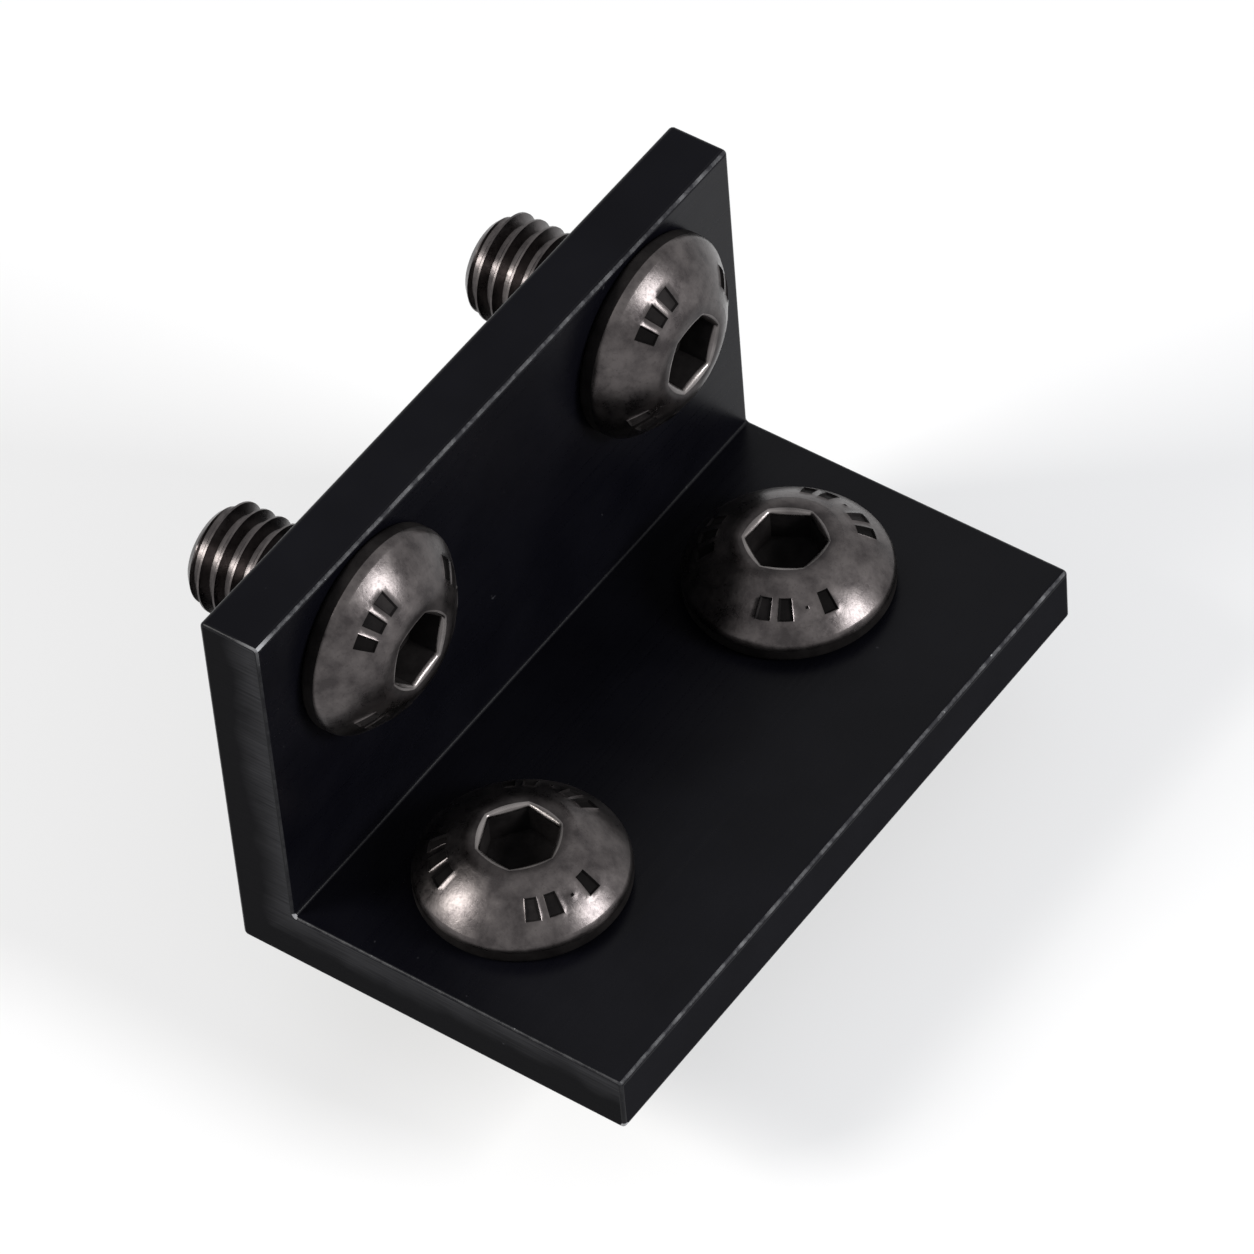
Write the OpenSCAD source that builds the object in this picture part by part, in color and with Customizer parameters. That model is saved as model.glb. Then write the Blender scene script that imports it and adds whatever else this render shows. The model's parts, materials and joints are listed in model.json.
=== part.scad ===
// L bracket cut from black anodised angle section, with the button head screws that fix it.
// Lengths are in millimetres and +Z is up. The origin is the middle of the outer heel edge,
// where the planes of the two seat faces meet: +X runs out along the base leg, +Z up the
// upright leg and +Y along the bracket.

/* [Bracket] */
// Length of the angle section, along Y
bracket_length = 34; // [30:0.5:60]
// Reach of the base leg from the heel, along X
base_leg = 20; // [16:0.5:40]
// Reach of the upright leg from the heel, along Z
upright_leg = 20; // [20:0.5:40]
// Thickness of the base leg
base_thickness = 3; // [2:0.1:4]
// Thickness of the upright leg
upright_thickness = 3; // [2:0.1:4]
// Radius of the section's outer edges
edge_radius = 0.25; // [0.1:0.05:0.8]
// Radius of the fillet in the inside corner
inside_radius = 0.2; // [0.1:0.05:1]

/* [Screw holes] */
// Distance between the two holes of a leg, along Y
hole_pitch = 20; // [12:0.5:24]
// Distance of the base leg's holes from the heel
base_hole_reach = 10; // [9:0.25:15]
// Distance of the upright leg's holes from the heel
upright_hole_reach = 15; // [11:0.25:15]
// Clearance round a screw's thread in its hole, on the radius
hole_clearance = 0.25; // [0.1:0.05:0.4]
// Chamfer that takes the burr off each end of a hole
hole_chamfer = 0.25; // [0.1:0.05:0.5]

/* [Screws] */
// Outer diameter of the screw thread
thread_d = 5; // [4.8:0.1:5.4]
// Pitch of the screw thread
thread_pitch = 0.8; // [0.6:0.05:1]
// Diameter of the plain neck between the head and the thread
neck_d = 4.5; // [4:0.1:4.7]
// Length of a screw under its head
screw_length = 8; // [6:1:16]
// Chamfer of the screw's tip
tip_chamfer = 0.6; // [0.2:0.1:1]

/* [Screw heads] */
// Diameter of the button head
head_d = 9.5; // [8:0.1:10]
// Height of the button head
head_h = 2.75; // [2.2:0.05:3.5]
// Height at which the head's rim turns into the dome
rim_h = 0.9; // [0.5:0.05:1.4]
// Radius under the rim, down to the bearing face
rim_under_r = 0.35; // [0.1:0.05:0.45]
// Diameter of the flat crown round the socket
crown_d = 4.6; // [4.2:0.1:6]
// Width of the hexagon socket across its flats
socket_af = 3; // [2.5:0.1:3.2]
// Depth of the socket's flats below the crown
socket_depth = 1.6; // [1:0.1:2]
// Width of the bevel round the socket's mouth, at the flats
socket_bevel = 0.25; // [0.1:0.05:0.4]
// Turn of the sockets in the base leg, front screw then rear screw, in degrees
base_socket_turns = [53, 28]; // [0:1:60]
// Turn of the sockets in the upright leg, front screw then rear screw, in degrees
upright_socket_turns = [41, 34]; // [0:1:60]

/* [Hidden] */
$fn = 96;
// how far a cutting shape runs past the face that it cuts
overcut = 1;
hole_d = thread_d + 2 * hole_clearance;
hole_rows = [-hole_pitch / 2, hole_pitch / 2];
thread_r = thread_d / 2;
neck_r = neck_d / 2;
// flats of the 60 degree thread at its crests and roots, and the run of a flank between them
thread_crest = thread_pitch / 8;
thread_root = thread_pitch / 4;
thread_flank = (thread_pitch - thread_crest - thread_root) / 2;
root_r = thread_r - thread_flank / tan(30);
head_r = head_d / 2;
crown_r = crown_d / 2;
// the dome is a sphere through the top of the rim and the edge of the crown
dome_centre = (pow(head_r, 2) - pow(crown_r, 2) + pow(rim_h, 2) - pow(head_h, 2)) / (2 * (rim_h - head_h));
dome_r = norm([head_r, rim_h - dome_centre]);

// Flat bar in section, with its four edges rounded
module bar_section(width, height) {
    translate([edge_radius, 0])
        square([width - 2 * edge_radius, height]);
    translate([0, edge_radius])
        square([width, height - 2 * edge_radius]);
    for (x = [edge_radius, width - edge_radius], y = [edge_radius, height - edge_radius])
        translate([x, y])
            circle(r = edge_radius);
}

// Section of the angle: two legs from one heel, with a fillet in the inside corner
module angle_section() {
    bar_section(base_leg, base_thickness);
    bar_section(upright_thickness, upright_leg);
    translate([upright_thickness, base_thickness])
        difference() {
            translate([-edge_radius, -edge_radius])
                square(inside_radius + edge_radius);
            translate([inside_radius, inside_radius])
                circle(r = inside_radius);
        }
}

// Seats the children at a base leg hole: z = 0 is the leg's inner face
module at_base_hole(row) {
    translate([base_hole_reach, row, base_thickness])
        children();
}

// Seats the children at an upright leg hole, pointing out of the leg's inner face
module at_upright_hole(row) {
    translate([upright_thickness, row, upright_hole_reach])
        rotate([0, 90, 0])
            children();
}

// Drilled hole through a leg, opened at both ends where the burr is taken off
module leg_hole(thickness) {
    hole_r = hole_d / 2;
    mouth_r = hole_r + hole_chamfer;
    translate([0, 0, -thickness - overcut])
        cylinder(r = hole_r, h = thickness + 2 * overcut);
    translate([0, 0, -hole_chamfer])
        cylinder(r1 = hole_r, r2 = mouth_r + overcut, h = hole_chamfer + overcut);
    translate([0, 0, -thickness - overcut])
        cylinder(r1 = mouth_r + overcut, r2 = hole_r, h = hole_chamfer + overcut);
}

module angle_bracket() {
    color("#25252c")
        difference() {
            translate([0, bracket_length / 2, 0])
                rotate([90, 0, 0])
                    linear_extrude(height = bracket_length)
                        angle_section();
            for (row = hole_rows) {
                at_base_hole(row)
                    leg_hole(base_thickness);
                at_upright_hole(row)
                    leg_hole(upright_thickness);
            }
        }
}

// Half section of the head: rounded under the rim, upright rim, domed up to the crown
module head_half_section() {
    square([head_r - rim_under_r, rim_h]);
    translate([0, rim_under_r])
        square([head_r, rim_h - rim_under_r]);
    translate([head_r - rim_under_r, rim_under_r])
        circle(r = rim_under_r);
    intersection() {
        translate([0, dome_centre])
            circle(r = dome_r);
        translate([0, rim_under_r])
            square([head_r, head_h - rim_under_r]);
    }
}

// Half section of the shank: plain neck as long as the leg is thick, then the thread's ridges,
// as rings one pitch apart, down to the chamfered tip
module shank_half_section(neck_length) {
    thread_top = -neck_length - (thread_r - neck_r);
    thread_end = -screw_length + tip_chamfer;
    grooves = floor((thread_top - thread_end - thread_crest) / thread_pitch);
    polygon([
        [0, rim_h],
        [neck_r, rim_h],
        [neck_r, -neck_length],
        [thread_r, thread_top],
        for (i = [0 : 1 : grooves - 1])
            let (groove_top = thread_top - i * thread_pitch - thread_crest)
                each [
                    [thread_r, groove_top],
                    [root_r, groove_top - thread_flank],
                    [root_r, groove_top - thread_flank - thread_root],
                    [thread_r, groove_top - 2 * thread_flank - thread_root],
                ],
        [thread_r, thread_end],
        [thread_r - tip_chamfer, -screw_length],
        [0, -screw_length],
    ]);
}

// Hexagon socket: three crossed slabs leave a six-sided hole with a bevelled mouth, over a conical floor
module socket() {
    half_af = socket_af / 2;
    wall_h = socket_depth - socket_bevel;
    floor_h = half_af * tan(30);
    translate([0, 0, head_h - socket_depth]) {
        intersection_for (turn = [30, 90, 150])
            rotate([90, 0, turn])
                linear_extrude(height = head_d, center = true)
                    polygon([
                        [-half_af, 0],
                        [half_af, 0],
                        [half_af, wall_h],
                        [half_af + socket_bevel + overcut, socket_depth + overcut],
                        [-half_af - socket_bevel - overcut, socket_depth + overcut],
                        [-half_af, wall_h],
                    ]);
        translate([0, 0, -floor_h])
            cylinder(r1 = 0, r2 = half_af, h = floor_h);
    }
}

// One screw: the bearing face of its head is at z = 0 and the shank points down
module button_head_screw(neck_length, turn) {
    difference() {
        rotate_extrude() {
            head_half_section();
            shank_half_section(neck_length);
        }
        rotate([0, 0, turn])
            socket();
    }
}

module button_head_screws() {
    color("#77736f")
        for (i = [0, 1]) {
            at_base_hole(hole_rows[i])
                button_head_screw(base_thickness, base_socket_turns[i]);
            at_upright_hole(hole_rows[i])
                button_head_screw(upright_thickness, upright_socket_turns[i]);
        }
}

angle_bracket();
button_head_screws();
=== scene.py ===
# %% [markdown]
# An L bracket: a short cut of black anodised aluminium angle with its four button head screws.
# The CAD model is loaded first and stays as the fixed frame. It gives every size and place, and
# the pieces made here stand where its solids are. What Blender adds is what a drawing leaves out:
# the broken edges, the rolled threads, the saw marks, the wear and the two metal finishes, with some
# highlights and shade painted into them.

# %% Load the frame
import json
import math
import bmesh
import bpy
from mathutils import Matrix, Quaternion, Vector

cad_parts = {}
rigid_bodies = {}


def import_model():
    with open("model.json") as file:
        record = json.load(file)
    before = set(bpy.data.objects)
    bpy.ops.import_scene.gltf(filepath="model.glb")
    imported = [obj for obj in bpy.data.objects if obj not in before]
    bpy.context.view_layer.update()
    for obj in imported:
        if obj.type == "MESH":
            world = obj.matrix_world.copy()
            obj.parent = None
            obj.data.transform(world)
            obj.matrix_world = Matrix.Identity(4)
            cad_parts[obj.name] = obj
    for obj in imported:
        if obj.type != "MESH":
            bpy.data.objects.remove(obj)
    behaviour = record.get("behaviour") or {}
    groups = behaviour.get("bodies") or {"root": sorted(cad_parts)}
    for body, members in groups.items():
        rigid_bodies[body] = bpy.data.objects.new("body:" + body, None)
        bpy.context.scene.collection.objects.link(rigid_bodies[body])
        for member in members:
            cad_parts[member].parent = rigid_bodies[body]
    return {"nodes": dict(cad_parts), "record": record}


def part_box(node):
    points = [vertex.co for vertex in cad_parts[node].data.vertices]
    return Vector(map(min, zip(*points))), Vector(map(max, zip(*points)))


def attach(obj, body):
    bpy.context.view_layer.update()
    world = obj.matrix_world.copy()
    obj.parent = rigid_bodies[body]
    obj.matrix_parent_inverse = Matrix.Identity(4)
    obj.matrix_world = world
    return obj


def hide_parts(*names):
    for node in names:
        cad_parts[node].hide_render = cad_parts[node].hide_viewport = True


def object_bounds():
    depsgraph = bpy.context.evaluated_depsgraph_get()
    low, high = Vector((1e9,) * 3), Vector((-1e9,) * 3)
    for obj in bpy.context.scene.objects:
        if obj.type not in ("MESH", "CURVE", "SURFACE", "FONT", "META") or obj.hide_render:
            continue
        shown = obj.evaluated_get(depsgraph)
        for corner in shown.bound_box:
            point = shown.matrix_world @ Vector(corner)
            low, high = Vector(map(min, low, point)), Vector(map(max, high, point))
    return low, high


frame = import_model()
cad_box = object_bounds()
print("CAD nodes:", sorted(frame["nodes"]))
print("CAD box in metres:", [tuple(round(value, 4) for value in corner) for corner in cad_box])

# %% [markdown]
# A maker reads this bracket in millimetres, and Blender works in metres. The meshes are drawn in
# millimetres, as on a drawing, and shrunk once when they are finished. The reach of each leg comes
# from the bracket's box in the frame, and the places of the holes come from the mounts in its record.

# %% Sizes in millimetres
MM = 0.001
PER_MM = 1.0 / MM
bracket_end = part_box("angle_bracket")[1]
base_reach = bracket_end.x / MM
upright_reach = bracket_end.z / MM
half_length = bracket_end.y / MM
mounts = {mount["name"]: mount for mount in frame["record"]["mounts"]}
base_hole_x = mounts["base_studs"]["pos_m"][0] / MM
upright_hole_z = mounts["upright_studs"]["pos_m"][2] / MM
hole_offset = mounts["base_studs"]["dims"]["spacing_y_mm"] / 2
hole_rows = {"front": -hole_offset, "rear": hole_offset}
print(f"legs {base_reach:.1f} x {upright_reach:.1f} mm, length {2 * half_length:.1f} mm")
print("holes along the bracket, in mm from its middle:", hole_rows)

# %% [markdown]
# The camera comes early, so that every piece can be looked at from the photograph's side. It stands at the
# photograph's viewing angle, and a long lens fills the frame with the bracket alone. Tracking a target
# would leave the camera level, so the small roll of the photograph is added.

# %% Camera
eye = Vector((164.73, -192.84, 285.16)) * MM
target = Vector((8.41, 0.47, 8.09)) * MM
camera_roll = math.radians(-5.2)
camera_data = bpy.data.cameras.new("photo_camera")
camera_data.sensor_width = 36.0
camera_data.lens = 250.0
camera_data.clip_start = 0.01
camera = bpy.data.objects.new("photo_camera", camera_data)
camera.location = eye
level_turn = (target - eye).to_track_quat("-Z", "Y")
camera.rotation_euler = (level_turn @ Quaternion((0, 0, 1), camera_roll)).to_euler()
bpy.context.scene.collection.objects.link(camera)
bpy.context.scene.camera = camera
print(f"camera {(target - eye).length:.3f} m from its target, lens {camera_data.lens:.0f} mm")

# %% [markdown]
# The bracket starts as the saw leaves it. The real angle is pressed through a die as a long bar and
# cut into short lengths, so the same is done here: six corners give the L section, one face fills
# it, and an extrusion carries it along Y. A cube with a corner cut out would give the same block, but
# the section is where an extruded part is designed, and its edges are easy to find again.

# %% Cut the angle to length
leg_thickness = 3.0
section = [
    (0, 0),
    (base_reach, 0),
    (base_reach, leg_thickness),
    (leg_thickness, leg_thickness),
    (leg_thickness, upright_reach),
    (0, upright_reach),
]
angle = bmesh.new()
section_face = angle.faces.new([angle.verts.new((x, -half_length, z)) for x, z in section])
extruded = bmesh.ops.extrude_face_region(angle, geom=[section_face])
far_corners = [item for item in extruded["geom"] if isinstance(item, bmesh.types.BMVert)]
bmesh.ops.translate(angle, verts=far_corners, vec=(0, 2 * half_length, 0))
bmesh.ops.recalc_face_normals(angle, faces=angle.faces[:])
print("angle blank:", len(angle.faces), "faces")

# %% [markdown]
# No metal edge is quite sharp. The die leaves a small round on every edge along the bar and a fillet
# in the inside corner. These narrow rounds carry the bright lines that outline a black part, so they
# are real geometry with several segments. The edges are found by where they lie, and one bevel rounds
# all the edges that share a radius.

# %% Round the edges along the bar
edge_radius = 0.25
edge_segments = 7
inside_radius = 0.14
inside_segments = 5
same_place = 0.01
same_plane = 0.001


def is_along(edge):
    return abs(edge.verts[0].co.y - edge.verts[1].co.y) > half_length


def runs_at(edge, corners):
    place = edge.verts[0].co
    return any(abs(place.x - x) < same_place and abs(place.z - z) < same_place for x, z in corners)


def round_edges(mesh, edges, radius, segments):
    bmesh.ops.bevel(mesh, geom=edges, offset=radius, offset_type="OFFSET", affect="EDGES",
                    segments=segments, profile=0.5, material=-1, clamp_overlap=False)


inside_corner = (leg_thickness, leg_thickness)
inside_edges = [edge for edge in angle.edges if is_along(edge) and runs_at(edge, [inside_corner])]
round_edges(angle, inside_edges, inside_radius, inside_segments)
outer_corners = [corner for corner in section if corner != inside_corner]
outer_edges = [edge for edge in angle.edges if is_along(edge) and runs_at(edge, outer_corners)]
round_edges(angle, outer_edges, edge_radius, edge_segments)
print("rounded:", len(inside_edges), "inside edge and", len(outer_edges), "outer edges")

# %% [markdown]
# A quick pass with a file takes the burr off both sawn ends, a little more at the rear one. The outline
# of an end is every edge that lies in its plane, so the breaks follow the rounds made before.

# %% Break the sawn ends
front_break = 0.16
rear_break = 0.22
break_segments = 4


def is_end_outline(edge):
    return all(abs(v.co.y) > half_length - same_plane for v in edge.verts) and not is_along(edge)


front_edges = [edge for edge in angle.edges if is_end_outline(edge) and edge.verts[0].co.y < 0]
round_edges(angle, front_edges, front_break, break_segments)
rear_edges = [edge for edge in angle.edges if is_end_outline(edge) and edge.verts[0].co.y > 0]
round_edges(angle, rear_edges, rear_break, break_segments)
print("broken:", len(front_edges), "edges at the front and", len(rear_edges), "at the rear")

# %% [markdown]
# Each leg has two clearance holes, drilled and lightly countersunk on both sides to take the burr off.
# The cutter is turned like the real tool: half of its outline is spun into a closed body of revolution.
# Cutting the circles into the flat faces by hand would need new edges all round, and a Boolean with this
# cutter does exactly that.

# %% Turn the drill
thread_radius = mounts["base_studs"]["dims"]["stud_r_mm"]
hole_clearance = 0.25
hole_radius = thread_radius + hole_clearance
countersink = 0.25
overcut = 1.0
hole_steps = 72
weld = 0.0001
drill_outline = [
    (0, -leg_thickness - overcut),
    (hole_radius + countersink + overcut, -leg_thickness - overcut),
    (hole_radius, -leg_thickness + countersink),
    (hole_radius, -countersink),
    (hole_radius + countersink + overcut, overcut),
    (0, overcut),
]


def draw_chain(mesh, points):
    verts = [mesh.verts.new((x, 0, z)) for x, z in points]
    edges = [mesh.edges.new(pair) for pair in zip(verts, verts[1:])]
    return verts + edges


def full_turn(mesh, chain, steps):
    bmesh.ops.spin(mesh, geom=chain, cent=(0, 0, 0), axis=(0, 0, 1), angle=math.tau, steps=steps,
                   use_merge=True)
    bmesh.ops.remove_doubles(mesh, verts=mesh.verts[:], dist=weld)
    bmesh.ops.recalc_face_normals(mesh, faces=mesh.faces[:])


drill = bmesh.new()
full_turn(drill, draw_chain(drill, drill_outline), hole_steps)
drill_mesh = bpy.data.meshes.new("drill")
drill.to_mesh(drill_mesh)
drill.free()
print("drill:", len(drill_mesh.polygons), "faces")

# %% [markdown]
# A seat is the place of a screw: a matrix that puts z = 0 on the leg's inner face, with z pointing out
# of it. The drills use the seats now and the screws use them later. Four drills go into one mesh, and
# a single Boolean takes them all out of the bracket.

# %% Drill the holes
def base_seat(row):
    return Matrix.Translation((base_hole_x, row, leg_thickness))


def upright_seat(row):
    lie_down = Matrix.Rotation(math.radians(90), 4, "Y")
    return Matrix.Translation((leg_thickness, row, upright_hole_z)) @ lie_down


def add_object(name, mesh_data):
    made = bpy.data.objects.new(name, mesh_data)
    bpy.context.scene.collection.objects.link(made)
    return made


seats = {}
for row_name, row in hole_rows.items():
    seats["base_" + row_name] = base_seat(row)
    seats["upright_" + row_name] = upright_seat(row)
drills = bmesh.new()
for seat in seats.values():
    placed = drill_mesh.copy()
    placed.transform(seat)
    drills.from_mesh(placed)
    bpy.data.meshes.remove(placed)
drills_mesh = bpy.data.meshes.new("drills")
drills.to_mesh(drills_mesh)
drills.free()
cutter = add_object("drills", drills_mesh)
bracket_mesh = bpy.data.meshes.new("bracket_body")
angle.to_mesh(bracket_mesh)
angle.free()
bracket = add_object("bracket_body", bracket_mesh)
drilling = bracket.modifiers.new("drilling", "BOOLEAN")
drilling.operation = "DIFFERENCE"
drilling.solver = "EXACT"
drilling.object = cutter
drilled = bpy.data.meshes.new_from_object(bracket.evaluated_get(bpy.context.evaluated_depsgraph_get()))
bracket.modifiers.clear()
bracket.data = drilled
bpy.data.objects.remove(cutter)
print("drilled bracket:", len(drilled.polygons), "faces")

# %% [markdown]
# The rounded edges get a lighter grey, partly because handling wears the dye off and partly as a painted
# highlight. The edges along the bar that look up get most, the filed ones less, the sides a little, and the
# inside corner only a faint painted highlight. Nothing rubs inside the holes, so a face close to a hole's
# axis is left alone. Two small functions hold these rules.

# %% Say where the wear and the painted highlights go
some_lean = 0.3
die_share = 1.0
file_share = 0.45
side_share = 0.2
corner_highlight_share = 0.04
hole_margin = 0.02
hole_axes = [(seat.to_translation(), (seat.to_3x3() @ Vector((0, 0, 1)))) for seat in seats.values()]


def in_hole(place):
    for start, along in hole_axes:
        offset = place - start
        if (offset - along * offset.dot(along)).length < hole_radius + countersink + hole_margin:
            return True
    return False


# The share is partly wear and partly a painted highlight. In the inside corner it is painted highlight only.
def wear_and_highlight_share(face, middle):
    if (middle - Vector((leg_thickness, middle.y, leg_thickness))).length < inside_radius:
        return corner_highlight_share
    if face.normal.z <= some_lean:
        return side_share
    return file_share if abs(face.normal.y) > some_lean else die_share


print("rubbed shares:", die_share, file_share, side_share, corner_highlight_share)

# %% [markdown]
# The finish needs to know which faces are worn edges with a painted highlight, sawn ends, dull narrow faces
# or bare nicks. Numbers stored on each face say so, and the material reads them by name. A face that leans
# away from all three axes is one of the rounds, and one that looks along Y is a cut end. Painting the marks
# by hand would also work, but it would be lost when a size changes.

# %% Mark the edges and the sawn ends
marking = bmesh.new()
marking.from_mesh(bracket.data)
wear_and_highlight = marking.faces.layers.float.new("wear_and_highlight")
sawn = marking.faces.layers.float.new("sawn")
bare = marking.faces.layers.float.new("bare")
dull = marking.faces.layers.float.new("dull")
round_lean = 0.9
flat_lean = 0.995
nick_reach = 0.5
nick_point = Vector((leg_thickness, -half_length, leg_thickness))
for face in marking.faces:
    lean = max(abs(value) for value in face.normal)
    middle = face.calc_center_median()
    if lean < round_lean and not in_hole(middle):
        face[wear_and_highlight] = wear_and_highlight_share(face, middle)
        near_nick = (middle - nick_point).length < nick_reach
        face[bare] = 1.0 if near_nick and abs(middle.y) > half_length - front_break else 0.0
    if abs(face.normal.y) > flat_lean:
        face[sawn] = 1.0
    on_leg_end = middle.x > base_reach - edge_radius or middle.z > upright_reach - edge_radius
    face[dull] = 1.0 if face[sawn] or (on_leg_end and lean > flat_lean) else 0.0
    face.smooth = True
for name, layer in (("wear_and_highlight", wear_and_highlight), ("sawn", sawn), ("dull", dull), ("bare", bare)):
    print(name, "faces:", sum(1 for face in marking.faces if face[layer] > 0))

# %% [markdown]
# The mesh is now shrunk to metres and set to smooth shading. Weighted Normals keep the large flats flat
# beside their rounds, which plain smooth shading would make look swollen. The bracket then takes the place
# of its CAD node and rides on the part's only body.

# %% Hand over the bracket
bmesh.ops.scale(marking, verts=marking.verts[:], vec=(MM, MM, MM))
marking.to_mesh(bracket.data)
marking.free()
smooth_limit = math.radians(35)
bracket.data.set_sharp_from_angle(angle=smooth_limit)
even_shading = bracket.modifiers.new("even_shading", "WEIGHTED_NORMAL")
even_shading.keep_sharp = True
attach(bracket, "root")
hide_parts("angle_bracket")
print("bracket body:", len(bracket.data.polygons), "faces")

# %% [markdown]
# A material is a small network of nodes. A few short helpers keep the lines below readable: one adds a
# node with its settings and links, and the others blend and combine values or read a mark from the faces.
# The same network could be wired by hand in the Shader Editor.

# %% Node helpers
def new_finish(name):
    finish = bpy.data.materials.new(name)
    finish.use_nodes = True
    return finish, finish.node_tree


def add_node(tree, kind, settings=None, inputs=None):
    node = tree.nodes.new(kind)
    for key, value in (settings or {}).items():
        setattr(node, key, value)
    for key, value in (inputs or {}).items():
        if isinstance(value, bpy.types.NodeSocket):
            tree.links.new(value, node.inputs[key])
        else:
            node.inputs[key].default_value = value
    return node


def blend_values(tree, share, start, end):
    settings = {"data_type": "FLOAT"}
    return add_node(tree, "ShaderNodeMix", settings, {0: share, 2: start, 3: end}).outputs[0]


def blend_colours(tree, share, start, end):
    settings = {"data_type": "RGBA"}
    return add_node(tree, "ShaderNodeMix", settings, {0: share, 6: start, 7: end}).outputs[2]


def combine(tree, operation, first, second):
    return add_node(tree, "ShaderNodeMath", {"operation": operation}, {0: first, 1: second}).outputs[0]


def read_mark(tree, name):
    return add_node(tree, "ShaderNodeAttribute", {"attribute_name": name}).outputs["Fac"]


print("node helpers ready")

# %% [markdown]
# Every pattern here is noise that is read at a place on the part. Its size is given as features per
# millimetre, and stretching it along one axis turns it into streaks. Remapping widens a narrow band of the
# noise: a wide band gives soft clouds, and a narrow one near the top gives a few sharp spots. All patterns
# read Object coordinates, so they stay on the part.

# %% Pattern helpers
def add_noise(tree, coords, per_mm, detail, roughness=0.5):
    wanted = {"Vector": coords, "Scale": per_mm * PER_MM, "Detail": detail, "Roughness": roughness}
    return add_node(tree, "ShaderNodeTexNoise", inputs=wanted).outputs["Fac"]


def add_streaks(tree, coords, per_mm, turn=(0, 0, 0), detail=2.0):
    stretch = {"Vector": coords, "Rotation": turn, "Scale": [count * PER_MM for count in per_mm]}
    stretched = add_node(tree, "ShaderNodeMapping", inputs=stretch).outputs["Vector"]
    wanted = {"Vector": stretched, "Scale": 1.0, "Detail": detail}
    return add_node(tree, "ShaderNodeTexNoise", inputs=wanted).outputs["Fac"]


def remap(tree, value, low, high, new_low=0.0, new_high=1.0):
    wanted = {"Value": value, "From Min": low, "From Max": high, "To Min": new_low, "To Max": new_high}
    return add_node(tree, "ShaderNodeMapRange", inputs=wanted).outputs["Result"]


print("pattern helpers ready")

# %% [markdown]
# Black anodising is a hard dyed layer on etched aluminium. It is satin rather than glossy, very dark
# with a cool tint, and it keeps the faint lines of the die along the bar. The patterns come first: slow
# clouds for the dye, fine grain for the etching, streaks along Y for the die, slanted streaks for the
# saw, and noise with a high threshold for nicks, worn spots and a few specks of dust.

# %% Patterns of the black finish
anodised, tree = new_finish("black_anodised_finish")
shader = tree.nodes["Principled BSDF"]
coords = tree.nodes.new("ShaderNodeTexCoord").outputs["Object"]
saw_slant = (0, math.radians(24), 0)
sheen_wobble_reach = 0.45 * MM
cloud = remap(tree, add_noise(tree, coords, per_mm=0.22, detail=3.0), 0.35, 0.65)
grain = add_noise(tree, coords, per_mm=11.0, detail=3.0, roughness=0.6)
die_lines = add_streaks(tree, coords, per_mm=(6.0, 0.05, 6.0))
saw_lines = add_streaks(tree, coords, per_mm=(0.35, 1.0, 9.0), turn=saw_slant, detail=3.0)
nicks = remap(tree, add_noise(tree, coords, per_mm=2.4, detail=3.0, roughness=0.6), 0.70, 0.74)
spots = remap(tree, add_noise(tree, coords, per_mm=1.3, detail=4.0, roughness=0.7), 0.42, 0.66)
specks = remap(tree, add_noise(tree, coords, per_mm=1.4, detail=2.0, roughness=0.6), 0.76, 0.80)
slow_noise = add_noise(tree, coords, per_mm=0.3, detail=3.0)
wear = remap(tree, slow_noise, 0.3, 0.7, 0.6, 1.0)
sheen_edge_wobble = remap(tree, slow_noise, 0.3, 0.7, -sheen_wobble_reach, sheen_wobble_reach)
is_wear_and_highlight = read_mark(tree, "wear_and_highlight")
is_sawn = read_mark(tree, "sawn")
is_bare = read_mark(tree, "bare")
is_dull = read_mark(tree, "dull")
print("black finish patterns:", len(tree.nodes), "nodes")

# %% [markdown]
# The colour is built up in layers: dye first, then the sawn ends, where the blade's marks show in a strip of
# painted sheen near the inside of the L with painted shade further out, and then the rounds, which turn grey
# with a few bright nicks, partly wear and partly a painted highlight. How far a point lies inside the L is
# the smaller of its X and Z, so one value places both the painted strip and the edge grey.

# %% Colour of the black finish
deep_dye = (0.0014, 0.0014, 0.0026, 1)
pale_dye = (0.0028, 0.0028, 0.0044, 1)
sawn_dark = (0.001, 0.001, 0.0016, 1)
sawn_sheen_light = (0.046, 0.046, 0.050, 1)
edge_wear_and_highlight_dark = (0.026, 0.026, 0.030, 1)
edge_wear_and_highlight_light = (0.14, 0.14, 0.145, 1)
nick_bright = (0.42, 0.42, 0.43, 1)
dye = blend_colours(tree, cloud, deep_dye, pale_dye)
axes = add_node(tree, "ShaderNodeSeparateXYZ", inputs={"Vector": coords}).outputs
inward = combine(tree, "MINIMUM", axes["X"], axes["Z"])
# Painted sheen and shade: the sawn ends are lighter near the inside of the L and darker further out, with a
# wavy edge between them.
painted_sheen_strip = remap(tree, combine(tree, "ADD", inward, sheen_edge_wobble), 1.4 * MM, 2.8 * MM, 0.05, 1.15)
saw_marks_and_sheen = combine(tree, "MULTIPLY", saw_lines, painted_sheen_strip)
sawn_grey_and_sheen = blend_colours(tree, saw_marks_and_sheen, sawn_dark, sawn_sheen_light)
on_ends = blend_colours(tree, is_sawn, dye, sawn_grey_and_sheen)
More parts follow.
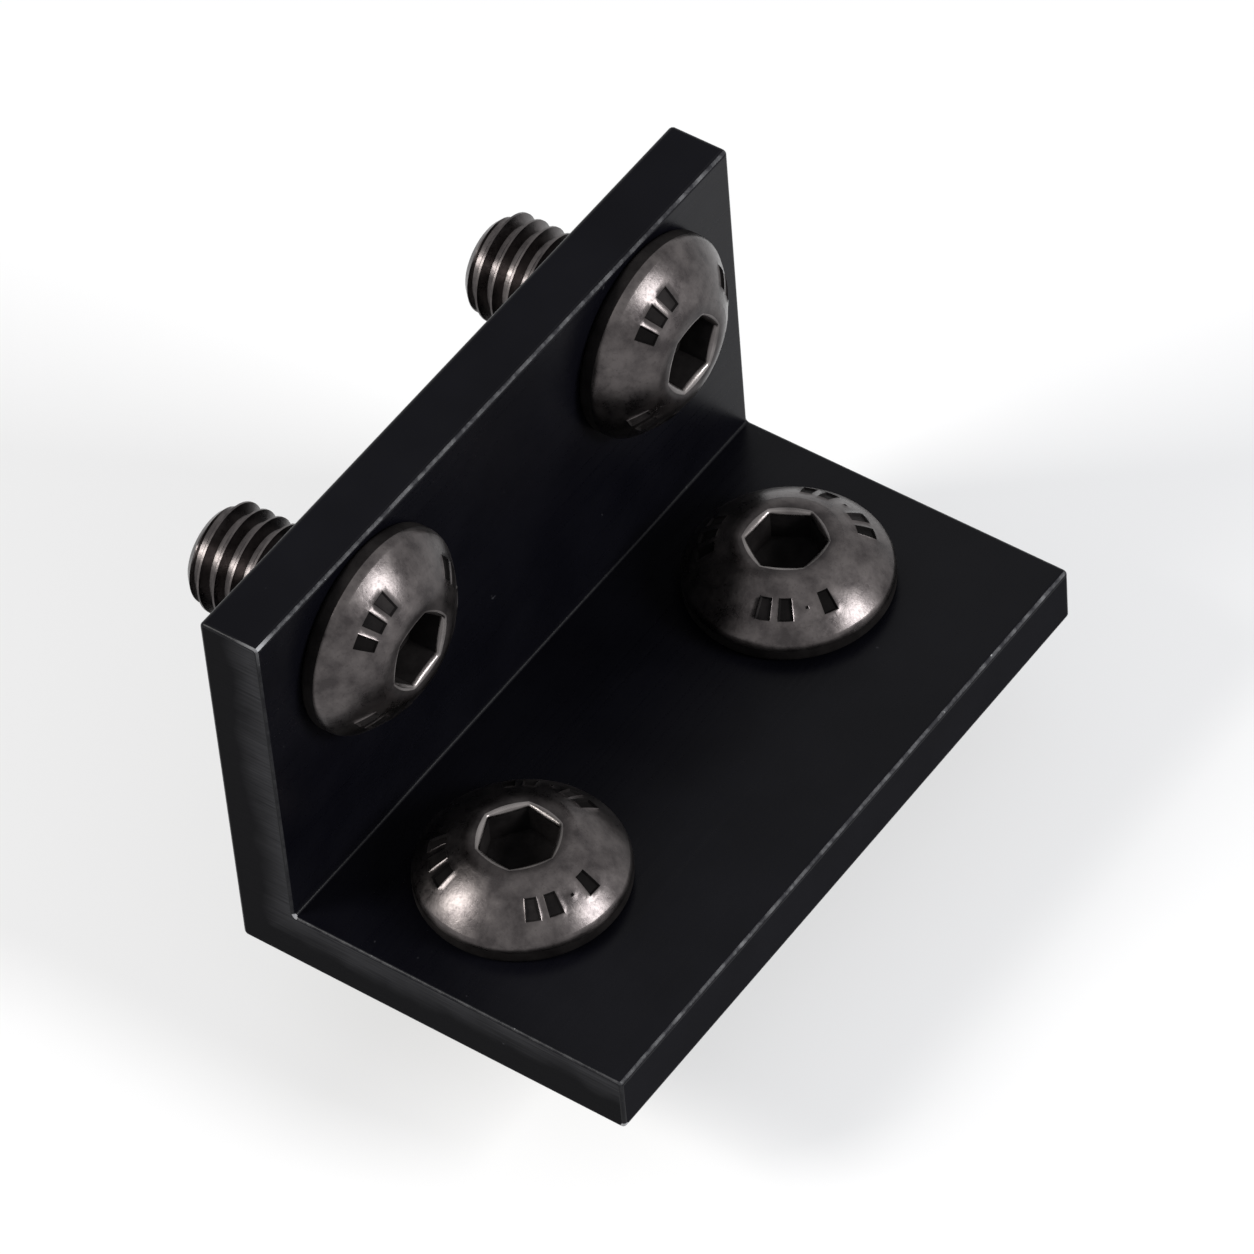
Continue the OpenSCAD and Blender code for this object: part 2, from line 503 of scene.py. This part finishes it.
# Painted highlight, partly real wear: the rounded edges turn lighter grey, most where they look up.
dull_grey = blend_colours(tree, spots, edge_wear_and_highlight_dark, edge_wear_and_highlight_light)
edge_grey_and_highlight = blend_colours(tree, nicks, dull_grey, nick_bright)
inward_share = remap(tree, inward, 1.2 * MM, leg_thickness * MM, 0.2, 1.0)
edge_wear_and_highlight = combine(tree, "MULTIPLY", is_wear_and_highlight, combine(tree, "MULTIPLY", wear, inward_share))
on_edges = blend_colours(tree, edge_wear_and_highlight, on_ends, edge_grey_and_highlight)
print("black finish with its wear:", len(tree.nodes), "nodes")

# %% [markdown]
# Two corners of the front end have been knocked. At the toe a small chip shows bare metal with a ragged
# outline, which noise gives it, and at the top the rounds near the corner are worn through. The distance
# from a corner, read in the material, keeps both in their place. A few specks of dust come last.

# %% Chips and dust on the black finish
bare_metal = (0.36, 0.36, 0.37, 1)
dust_grey = (0.030, 0.030, 0.034, 1)


def near_corner(corner, inner, outer):
    places = {0: coords, 1: Vector(corner) * MM}
    away = add_node(tree, "ShaderNodeVectorMath", {"operation": "DISTANCE"}, places).outputs["Value"]
    return remap(tree, away, inner * MM, outer * MM, new_low=1.0, new_high=0.0)


at_toe = near_corner((base_reach, -half_length, 0), inner=0.1, outer=0.5)
at_top = near_corner((leg_thickness, -half_length, upright_reach), inner=0.3, outer=1.2)
ragged_toe = combine(tree, "ADD", at_toe, add_noise(tree, coords, per_mm=2.0, detail=3.0))
chips = remap(tree, ragged_toe, 1.0, 1.1)
knocks = combine(tree, "MULTIPLY", is_wear_and_highlight, at_top)
nicked = combine(tree, "MULTIPLY", is_bare, wear)
bared = combine(tree, "MAXIMUM", nicked, combine(tree, "MAXIMUM", chips, knocks))
chipped = blend_colours(tree, bared, on_edges, bare_metal)
dusty = blend_colours(tree, specks, chipped, dust_grey)
tree.links.new(dusty, shader.inputs["Base Color"])
print("black finish with its colour:", len(tree.nodes), "nodes")

# %% [markdown]
# The sheen is low, because dyed oxide reflects little. The broad faces are satin with fine streaks, and
# the sawn ends and the narrow faces at the legs' ends are duller. The relief is only a few micrometres
# deep, so it is left to bump: grain and die lines on the sides, and the deeper saw lines on the ends.

# %% Sheen and relief of the black finish
dull_roughness = 0.9
saw_relief = 5.0
grain_relief = 0.5
satin = remap(tree, combine(tree, "ADD", grain, die_lines), 0.7, 1.3, 0.26, 0.36)
tree.links.new(blend_values(tree, is_dull, satin, dull_roughness), shader.inputs["Roughness"])
shader.inputs["Specular IOR Level"].default_value = 0.09
pits = combine(tree, "MULTIPLY", grain, grain_relief)
side_relief = combine(tree, "ADD", pits, die_lines)
end_relief = combine(tree, "ADD", pits, combine(tree, "MULTIPLY", saw_lines, saw_relief))
relief = blend_values(tree, is_sawn, side_relief, end_relief)
bump = add_node(tree, "ShaderNodeBump", inputs={"Strength": 0.5, "Distance": 0.003 * MM, "Height": relief})
tree.links.new(bump.outputs["Normal"], shader.inputs["Normal"])
bracket.data.materials.clear()
bracket.data.materials.append(anodised)
print("black anodised finish:", len(tree.nodes), "nodes")

# %% [markdown]
# A button head screw has a low domed head. The head is cold formed and then looks turned, so half of
# its outline is drawn and spun round the axis: the flat bearing face, the small round under the rim, the
# short upright rim and the dome. Each arc is a single point that is spun, which leaves a chain of edges.

# %% Turn the head
head_radius = 4.75
head_height = 2.75
rim_height = 0.9
under_radius = 0.25
under_steps = 5
crown_radius = 2.3
dome_steps = 14
neck_radius = 2.25
head_steps = 96
dome_rise = head_radius**2 - crown_radius**2 + rim_height**2 - head_height**2
dome_drop = dome_rise / (2 * (rim_height - head_height))
screw = bmesh.new()
painted_shade = screw.faces.layers.float.new("painted_shade")
polish_and_highlight = screw.faces.layers.float.new("polish_and_highlight")


def line_to(mesh, start, x, z):
    end = mesh.verts.new((x, 0, z))
    mesh.edges.new((start, end))
    return end


def arc_from(mesh, start, centre_x, centre_z, degrees, steps):
    swept = bmesh.ops.spin(mesh, geom=[start], cent=(centre_x, 0, centre_z), axis=(0, -1, 0),
                           angle=math.radians(degrees), steps=steps)
    return [item for item in swept["geom_last"] if isinstance(item, bmesh.types.BMVert)][0]


point = screw.verts.new((neck_radius, 0, 0))
point = line_to(screw, point, head_radius - under_radius, 0)
point = arc_from(screw, point, head_radius - under_radius, under_radius, degrees=90, steps=under_steps)
point = line_to(screw, point, head_radius, rim_height)
rim_lean = math.degrees(math.atan2(rim_height - dome_drop, head_radius))
crown_lean = math.degrees(math.atan2(head_height - dome_drop, crown_radius))
point = arc_from(screw, point, 0, dome_drop, degrees=crown_lean - rim_lean, steps=dome_steps)
full_turn(screw, screw.verts[:] + screw.edges[:], head_steps)
print("turned head:", len(screw.faces), "faces, top at", round(max(v.co.z for v in screw.verts), 3), "mm")

# %% [markdown]
# Where the dome meets the rim, the tumbling barrel has worn the edge round. It could have been one more
# arc in the outline. A bevel on the finished ring is easier, because it finds both tangents by itself.

# %% Soften the rim
rim_break = 0.22
rim_segments = 5


def is_on_ring(vert, radius, z):
    return abs(vert.co.z - z) < same_plane and abs(vert.co.xy.length - radius) < same_plane


def ring_edges(mesh, radius, z):
    return [edge for edge in mesh.edges if all(is_on_ring(v, radius, z) for v in edge.verts)]


round_edges(screw, ring_edges(screw, head_radius, rim_height), rim_break, rim_segments)
print("rim softened:", len(screw.faces), "faces")

# %% [markdown]
# The drive is a hexagon socket, pressed in by a punch. The crown is an open circle so far. A loop with as
# many points as that circle is drawn inside it and bridged to it, and its points are pulled in to a hexagon
# with soft corners, because the punch drags the metal down at the mouth. A Boolean with a hexagon bar would
# cut a razor edge there, and it is the rounded lip that catches the light.

# %% Draw the mouth of the socket
socket_across = 3.1
lip_round = 0.22
crown_dish = 0.02
corner_blend = 0.5
hexagon_mean = 1.08
side_turn = math.radians(60)
mean_reach = hexagon_mean * socket_across / 2
mouth_z = head_height - crown_dish


def hexagon_reach(vert, softness):
    off_flat = math.atan2(vert.co.y, vert.co.x) % side_turn - side_turn / 2
    sharp = socket_across / 2 / math.cos(off_flat)
    return sharp + (mean_reach - sharp) * softness


def shape_loop(verts, softness, wider, z):
    for vert in verts:
        vert.co.xy = vert.co.xy.normalized() * (hexagon_reach(vert, softness) + wider)
        vert.co.z = z


mouth = bmesh.ops.create_circle(screw, segments=head_steps, radius=1.0)
shape_loop(mouth["verts"], corner_blend, lip_round, mouth_z)
mouth_loop = [edge for edge in screw.edges if edge.is_wire]
bmesh.ops.bridge_loops(screw, edges=ring_edges(screw, crown_radius, head_height) + mouth_loop)
print("mouth:", len(mouth_loop), "edges, bridged to the dome")

# %% [markdown]
# The flat crown runs into the dome without an edge on the real head, so the ring between them is bevelled.
# The crown's faces still reach all the way from dome to mouth. Cutting across them gives a few rings,
# which let the painted shade fade out smoothly later on.

# %% Round the crown
crown_break = 0.3
crown_segments = 6
crown_rings = 3
spoke_spread = 0.03


def is_spoke(edge):
    first, second = edge.verts
    on_top = min(first.co.z, second.co.z) > mouth_z - same_plane
    return on_top and (first.co.xy.normalized() - second.co.xy.normalized()).length < spoke_spread


round_edges(screw, ring_edges(screw, crown_radius, head_height), crown_break, crown_segments)
spokes = [edge for edge in screw.edges if is_spoke(edge)]
bmesh.ops.subdivide_edges(screw, edges=spokes, cuts=crown_rings)
print("crown:", len(spokes), "spokes cut into", crown_rings + 1, "rings")

# %% [markdown]
# The mouth's edge is now extruded again and again, a little further in and down each time, until it has
# made a quarter turn. The corners of the hexagon get sharper on the way down, as they do under a punch.
# A bevel could round a sharp mouth too, but it could not change the corners as it goes.

# %% Turn the lip in
lip_polish_and_highlight = [1.0, 1.0, 0.5, 0.3]
lip_steps = len(lip_polish_and_highlight)
quarter_turn = math.radians(90)


def only(kind, result):
    return [item for item in result["geom"] if isinstance(item, kind)]


def only_verts(result):
    return only(bmesh.types.BMVert, result)


def only_edges(result):
    return only(bmesh.types.BMEdge, result)


def step_in(mesh, loop, down, share):
    grown = bmesh.ops.extrude_edge_only(mesh, edges=loop)
    bmesh.ops.translate(mesh, verts=only_verts(grown), vec=(0, 0, -down))
    bmesh.ops.scale(mesh, verts=only_verts(grown), vec=(share, share, 1))
    return grown


loop = [edge for edge in screw.edges if edge.is_boundary and edge.verts[0].co.z > rim_height]
lip_rings = []
for step in range(1, lip_steps + 1):
    lean = quarter_turn * step / lip_steps
    grown = step_in(screw, loop, 0, 1.0)
    softness = corner_blend * (1 - step / lip_steps)
    lip_z = mouth_z - lip_round * (1 - math.cos(lean))
    shape_loop(only_verts(grown), softness, lip_round * (1 - math.sin(lean)), lip_z)
    lip_rings.append(only(bmesh.types.BMFace, grown))
    loop = only_edges(grown)
print("lip:", lip_steps, "rings of", len(loop), "faces")

# %% [markdown]
# Three more extrusions make the socket: one long step for the walls, one across to the drill mark and one
# down to its point. The lip's faces get a share of lighter colour, partly rubbed bright by a key and partly
# a painted highlight, less on the lower rings. That waits until the last extrusion is done, because an
# extruded face copies the numbers of its neighbour.

# %% Press the socket
socket_depth = 1.6
floor_drop = 0.8
floor_share = 0.93
walls = step_in(screw, loop, socket_depth - lip_round - crown_dish, 1.0)
land = step_in(screw, only_edges(walls), 0, floor_share)
for vert in only_verts(land):
    vert.co.xy = vert.co.xy.normalized() * socket_across / 2 * floor_share
cone = step_in(screw, only_edges(land), floor_drop, 1.0)
cone_point = (0, 0, head_height - socket_depth - floor_drop)
bmesh.ops.pointmerge(screw, verts=only_verts(cone), merge_co=cone_point)
for ring, share in zip(lip_rings, lip_polish_and_highlight):
    for face in ring:
        face[polish_and_highlight] = share
print("socket:", socket_across, "mm across,", socket_depth, "mm deep")

# %% [markdown]
# Each face gets a share of painted shade for the finish: most in the socket and on the rim, and a little on
# the crown, more of it towards the mouth. The shares could come from an ambient occlusion node, but that
# isn't kept by every renderer, and numbers on the faces are.

# %% Paint shade into the socket, rim and crown
socket_painted_shade = 0.85
crown_painted_shade = 0.45
rim_painted_shade = 0.88
socket_zone = 0.6 * socket_across
socket_low = 0.1
wall_top = mouth_z - lip_round - same_place
crown_flatness = 0.95
screw.normal_update()
# Painted shade: the socket, the rim and the crown towards the mouth are darkened.
for face in screw.faces:
    middle = face.calc_center_median()
    reach = middle.xy.length
    if reach < socket_zone and socket_low < middle.z < wall_top:
        face[painted_shade] = socket_painted_shade
    elif reach < crown_radius and abs(face.normal.z) > crown_flatness:
        face[painted_shade] = crown_painted_shade * min(1, (crown_radius - reach) / (crown_radius - mean_reach))
    elif middle.z < rim_height - rim_break:
        face[painted_shade] = rim_painted_shade
print("dirty faces:", sum(1 for face in screw.faces if face[painted_shade] > 0))

# %% [markdown]
# A ring of plain bars and dots is stamped into the dome. The faces that a mark covers are inset twice: the
# first inset lifts a faint lip, as a stamp does, and the second sinks the floor. Bump in the material would
# be quicker, but it has no walls and is missing from the mesh. The marks get painted shade, more in some
# than in others.

# %% Stamp plain marks
bar_starts = [15, 30, 60, 75, 150, 165, 180, 255, 270, 300]
dot_starts = [48.75, 288.75]
bar_marks = {"starts": bar_starts, "columns": 3, "low": 3.10, "high": 4.02}
dot_marks = {"starts": dot_starts, "columns": 1, "low": 3.4, "high": 3.7}
lip_width = 0.05
lip_height = 0.03
stamp_wall = 0.07
stamp_depth = 0.10
stamp_painted_shades = [0.95, 0.8, 0.9]
step_degrees = 360 / head_steps


def dome_patch(mesh, start, marks):
    patch = []
    for face in mesh.faces:
        middle = face.calc_center_median()
        turn = math.degrees(math.atan2(middle.y, middle.x)) % 360
        inside = start < turn < start + marks["columns"] * step_degrees
        if inside and middle.z > rim_height and marks["low"] < middle.xy.length < marks["high"]:
            patch.append(face)
    return patch


# Painted shade darkens the sunk marks.
stamped = 0
for marks in (bar_marks, dot_marks):
    for count, start in enumerate(marks["starts"]):
        patch = dome_patch(screw, start, marks)
        bmesh.ops.inset_region(screw, faces=patch, thickness=lip_width, depth=lip_height,
                               use_even_offset=True)
        sunk = bmesh.ops.inset_region(screw, faces=patch, thickness=stamp_wall, depth=-stamp_depth,
                                      use_even_offset=True)
        for face in patch + sunk["faces"]:
            face[painted_shade] = stamp_painted_shades[count % len(stamp_painted_shades)]
        stamped += len(patch)
print("marks:", len(bar_starts), "bars and", len(dot_starts), "dots,", stamped, "faces sunk")

# %% [markdown]
# The thread is rolled between dies as one long groove. Its outline over a single pitch is spun round the
# axis and lifted a little at every step, so each turn ends where the next begins and the seam can be
# merged. The Screw modifier does the same, but the operator keeps the mesh at hand for shaping its ends.
# Two cuts trim the thread to length.

# %% Roll the thread
thread_pitch = 0.8
flank_degrees = 30
crest_flat = thread_pitch / 8
root_flat = thread_pitch / 4
flank = (thread_pitch - crest_flat - root_flat) / 2
flank_cuts = 3
thread_root = thread_radius - flank / math.tan(math.radians(flank_degrees))
screw_length = 8.0
thread_start = -leg_thickness
turn_steps = 48
turns = 9
seam_weld = 0.001
thread_bottom = -screw_length - thread_pitch
thread_outline = [
    (thread_root, thread_bottom),
    (thread_root, thread_bottom + root_flat),
    (thread_radius, thread_bottom + root_flat + flank),
    (thread_radius, thread_bottom + root_flat + flank + crest_flat),
    (thread_root, thread_bottom + thread_pitch),
]
thread = bmesh.new()
draw_chain(thread, thread_outline)
flank_edges = [edge for edge in thread.edges if edge.calc_length() > flank]
bmesh.ops.subdivide_edges(thread, edges=flank_edges, cuts=flank_cuts)
bmesh.ops.spin(thread, geom=thread.verts[:] + thread.edges[:], cent=(0, 0, 0), axis=(0, 0, 1),
               dvec=(0, 0, thread_pitch / turn_steps), angle=math.tau * turns, steps=turn_steps * turns)
bmesh.ops.remove_doubles(thread, verts=thread.verts[:], dist=seam_weld)
for height, side in ((-screw_length, -1), (thread_start, 1)):
    everything = thread.verts[:] + thread.edges[:] + thread.faces[:]
    bmesh.ops.bisect_plane(thread, geom=everything, plane_co=(0, 0, height), plane_no=(0, 0, side),
                           clear_outer=True)
print("thread:", turns, "turns,", len(thread.faces), "faces before the ends are shaped")

# %% [markdown]
# A rolled thread fades into the plain neck over its first turn, and the point is chamfered so that it
# finds its hole. Both are made by holding each point inside a cone, which keeps the ridges whole. Cutting
# the cones away would leave open ridges to be filled one by one. The tip is then closed with a flat land
# and a shallow hollow, which the rolling leaves there.

# %% Shape the ends of the thread
tip_chamfer = 0.6
tip_hollow = 0.12
fade_length = 0.7
land_share = 0.75
hollow_share = 0.85
middle_share = 0.5
ring_gap = 0.002
for vert in thread.verts:
    reach = vert.co.xy.length
    tip_limit = thread_radius - tip_chamfer + (vert.co.z + screw_length)
    wanted = min(reach, tip_limit)
    fade = max(0.0, 1 - (thread_start - vert.co.z) / fade_length)
    wanted += (neck_radius - wanted) * fade
    vert.co.xy = vert.co.xy * (wanted / reach)


def open_ring(mesh, z):
    def is_level(edge):
        return all(abs(vert.co.z - z) < ring_gap for vert in edge.verts)

    return [edge for edge in mesh.edges if edge.is_boundary and is_level(edge)]


bmesh.ops.remove_doubles(thread, verts=thread.verts[:], dist=seam_weld)
tip_land = step_in(thread, open_ring(thread, -screw_length), 0, land_share)
hollow = step_in(thread, only_edges(tip_land), -tip_hollow, hollow_share)
hollow_floor = step_in(thread, only_edges(hollow), 0, middle_share)
tip_middle = (0, 0, tip_hollow - screw_length)
bmesh.ops.pointmerge(thread, verts=only_verts(hollow_floor), merge_co=tip_middle)
thread_mesh = bpy.data.meshes.new("thread")
thread.to_mesh(thread_mesh)
thread.free()
print("thread ends shaped:", len(thread_mesh.polygons), "faces")

# %% [markdown]
# Head and thread are one piece of wire in the real screw. The open ring under the head and the open ring
# at the top of the thread are bridged, and that bridge is the plain neck through the leg. After the doubles
# are merged the normals are set outwards, and the mesh has to be closed all round.

# %% Join head and thread
neck_weld = 0.0005
screw.from_mesh(thread_mesh)
bmesh.ops.bridge_loops(screw, edges=open_ring(screw, 0) + open_ring(screw, thread_start))
bmesh.ops.remove_doubles(screw, verts=screw.verts[:], dist=neck_weld)
bmesh.ops.recalc_face_normals(screw, faces=screw.faces[:])
for face in screw.faces:
    face.smooth = True
open_edges = [edge for edge in screw.edges if not edge.is_manifold]
screw_mesh = bpy.data.meshes.new("button_head_screw")
screw.to_mesh(screw_mesh)
screw.free()
print("one screw:", len(screw_mesh.polygons), "faces,", len(open_edges), "open edges")

# %% [markdown]
# All four screws are the same part. Each one is a copy of the mesh, turned a little differently, as a key
# leaves it when the screw is tight, and moved to its hole. The place goes into the mesh and the object stays
# at the origin, so that the finish below keeps its scale on every screw.

# %% Seat the four screws
socket_turns = {"base_front": 53, "base_rear": 28, "upright_front": 41, "upright_rear": 34}
screws = []
for place, seat in seats.items():
    seated = screw_mesh.copy()
    seated.name = "screw_" + place
    turn = Matrix.Rotation(math.radians(socket_turns[place]), 4, "Z")
    seated.transform(Matrix.Scale(MM, 4) @ seat @ turn)
    seated.set_sharp_from_angle(angle=smooth_limit)
    piece = add_object("screw_" + place, seated)
    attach(piece, "root")
    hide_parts("button_head_screws")
    screws.append(piece)
print("screws:", [piece.name for piece in screws])

# %% [markdown]
# The screws are plain steel with a warm grey, tumbled surface. Its colour is mottled by noise at two sizes.
# Where the stored number says painted shade, the colour darkens, and Metallic falls with it below, which
# darkens those faces further. The lip of the socket is lighter, partly rubbed by the key and partly a
# painted highlight, more in some places than in others.

# %% Colour of the steel
steel, tree = new_finish("satin_steel_finish")
shader = tree.nodes["Principled BSDF"]
coords = tree.nodes.new("ShaderNodeTexCoord").outputs["Object"]
steel_dark = (0.047, 0.042, 0.0425, 1)
steel_light = (0.101, 0.091, 0.090, 1)
freckle_brown = (0.034, 0.0305, 0.0303, 1)
painted_shade_black = (0.001, 0.0009, 0.0009, 1)
lip_polish_highlight = (0.22, 0.204, 0.2, 1)
mottle = add_noise(tree, coords, per_mm=0.9, detail=4.0, roughness=0.6)
speckle = add_noise(tree, coords, per_mm=7.0, detail=3.0, roughness=0.6)
clouds = remap(tree, mottle, 0.35, 0.65)
freckles = remap(tree, speckle, 0.55, 0.75, 0.0, 0.5)
uneven = remap(tree, add_noise(tree, coords, per_mm=0.4, detail=2.0), 0.35, 0.65, 0.3, 1.0)
is_painted_shade = read_mark(tree, "painted_shade")
lip_wear_and_highlight = combine(tree, "MULTIPLY", read_mark(tree, "polish_and_highlight"), uneven)
tone = blend_colours(tree, clouds, steel_dark, steel_light)
freckled = blend_colours(tree, freckles, tone, freckle_brown)
# Painted shade darkens the socket, the rim, the crown and the marks.
with_painted_shade = blend_colours(tree, is_painted_shade, freckled, painted_shade_black)
# Painted highlight, partly key wear, lightens the lip.
lipped = blend_colours(tree, lip_wear_and_highlight, with_painted_shade, lip_polish_highlight)
tree.links.new(lipped, shader.inputs["Base Color"])
print("steel finish with its colour:", len(tree.nodes), "nodes")

# %% [markdown]
# The gloss of the steel follows the same noise as its colour, so a paler patch is also a slightly different
# mirror, as on tumbled metal. The relief is a few micrometres deep, so bump is enough for it. The faces with
# painted shade are rougher than steel.

# %% Gloss and relief of the steel
shaded_roughness = 0.6
mottle_relief = 2.0
# Metallic falls where the shade is painted, which darkens those faces further.
tree.links.new(combine(tree, "SUBTRACT", 1.0, is_painted_shade), shader.inputs["Metallic"])
shader.inputs["Specular IOR Level"].default_value = 0.02
satin = remap(tree, combine(tree, "ADD", mottle, speckle), 0.7, 1.3, 0.25, 0.36)
tree.links.new(blend_values(tree, is_painted_shade, satin, shaded_roughness), shader.inputs["Roughness"])
relief = combine(tree, "ADD", combine(tree, "MULTIPLY", mottle, mottle_relief), speckle)
bump = add_node(tree, "ShaderNodeBump", inputs={"Strength": 0.8, "Distance": 0.005 * MM, "Height": relief})
tree.links.new(bump.outputs["Normal"], shader.inputs["Normal"])
for piece in screws:
    piece.data.materials.clear()
    piece.data.materials.append(steel)
print("satin steel finish:", len(tree.nodes), "nodes")

# %% [markdown]
# The floor is a plain pale sheet at the height of the lowest screw tips. It is lit like anything else, so
# it keeps the soft shadow, and for the camera and for mirror rays a little light is added to bring it up
# to white. More lamp light would do that too, but it would also wash out the black finish.

# %% Floor
floor_half = 0.6
floor_gap = 0.00002
floor_lift = 0.45
floor_grey = (0.5, 0.5, 0.5, 1)
floor_mesh = bpy.data.meshes.new("floor")
sheet = bmesh.new()
bmesh.ops.create_grid(sheet, x_segments=1, y_segments=1, size=floor_half,
                      matrix=Matrix.Translation((0, 0, cad_box[0].z - floor_gap)))
sheet.to_mesh(floor_mesh)
sheet.free()
floor = add_object("floor", floor_mesh)


def seen_rays(tree):
    rays = tree.nodes.new("ShaderNodeLightPath").outputs
    seen = combine(tree, "MAXIMUM", rays["Is Camera Ray"], rays["Is Glossy Ray"])
    return combine(tree, "MAXIMUM", seen, rays["Is Transmission Ray"])


pale, tree = new_finish("pale_floor_finish")
tree.nodes.remove(tree.nodes["Principled BSDF"])
matt = add_node(tree, "ShaderNodeBsdfDiffuse", inputs={"Color": floor_grey})
lift_level = combine(tree, "MULTIPLY", seen_rays(tree), floor_lift)
lift = add_node(tree, "ShaderNodeEmission", inputs={"Strength": lift_level})
both = add_node(tree, "ShaderNodeAddShader", inputs={0: matt.outputs[0], 1: lift.outputs[0]})
tree.links.new(both.outputs[0], tree.nodes["Material Output"].inputs["Surface"])
floor.data.materials.append(pale)
print("floor at z =", round(cad_box[0].z, 4), "m")

# %% [markdown]
# Two softboxes light the bracket, one on each side of the camera, as the pairs of soft spots on the domes
# show. The left one is a little warmer. Together with a plain cool world that fills the shadows they give a
# plain level of light, at which a colour renders about as it is written. The background is white for the
# camera and for mirror rays only, so it adds no light.

# %% Lights and world
softbox_distance = 0.5
softbox_size = 0.16
fill_colour = (0.9, 0.93, 1.0, 1)
fill_strength = 0.35


def add_softbox(name, direction, watts, tint):
    lamp_data = bpy.data.lights.new(name, "AREA")
    lamp_data.color = tint
    lamp_data.shape = "SQUARE"
    lamp_data.size = softbox_size
    lamp_data.energy = watts
    lamp = add_object(name, lamp_data)
    lamp.location = Vector(direction).normalized() * softbox_distance
    lamp.rotation_euler = (-Vector(direction)).to_track_quat("-Z", "Y").to_euler()
    lamp.visible_camera = False


add_softbox("right_softbox", direction=(0.85, 0.25, 0.45), watts=2.2, tint=(1.0, 1.0, 1.0))
add_softbox("left_softbox", direction=(-0.52, -0.60, 0.55), watts=2.1, tint=(1.0, 0.98, 0.94))
world = bpy.data.worlds.new("studio")
bpy.context.scene.world = world
world.use_nodes = True
tree = world.node_tree
fill = tree.nodes["Background"]
fill.inputs["Color"].default_value = fill_colour
fill.inputs["Strength"].default_value = fill_strength
white = add_node(tree, "ShaderNodeBackground", inputs={"Color": (1, 1, 1, 1), "Strength": 1.0})
backgrounds = {0: seen_rays(tree), 1: fill.outputs[0], 2: white.outputs[0]}
chosen = add_node(tree, "ShaderNodeMixShader", inputs=backgrounds)
tree.links.new(chosen.outputs[0], tree.nodes["World Output"].inputs["Surface"])
bpy.context.scene.view_settings.view_transform = "Standard"
print("two softboxes and a white world")
